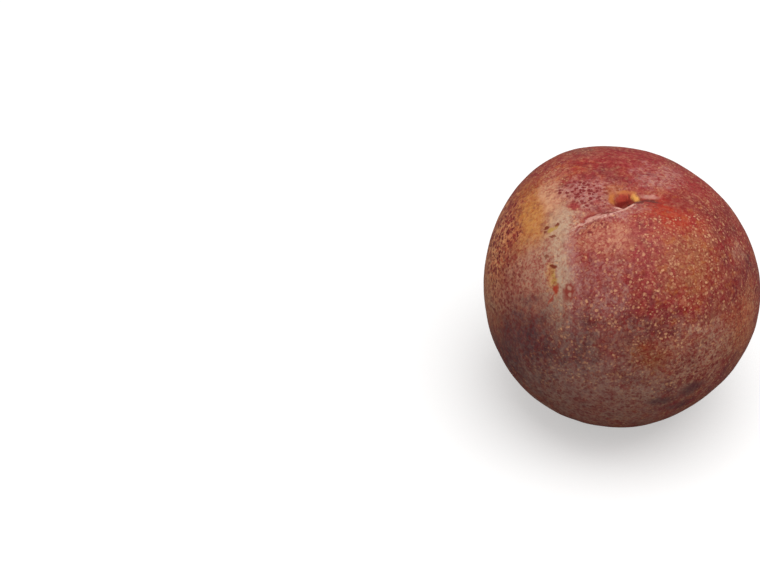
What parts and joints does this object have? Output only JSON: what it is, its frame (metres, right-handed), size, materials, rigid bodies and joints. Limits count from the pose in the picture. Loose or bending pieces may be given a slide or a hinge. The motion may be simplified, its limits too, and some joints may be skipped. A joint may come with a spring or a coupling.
{
  "type": "plum",
  "caption": "Whole ripe plum with its stem cavity, suture crease and bloomed red skin, resting on a small flat spot at the blossom end.",
  "frame": {"origin": "centre of the small flat spot at the blossom end, which the plum rests on", "axes": "+Z from the blossom end up to the stem end, +X to the right and -Y to the front, seen from the side that the suture runs down a little to the left of the middle"},
  "size_m": [0.063, 0.0659, 0.0595],
  "materials": {
    "plum_skin": "satin, with a thin dry bloom"
  },
  "bodies": {
    "root": {"plum": "plum_skin"}
  },
  "joints": []
}
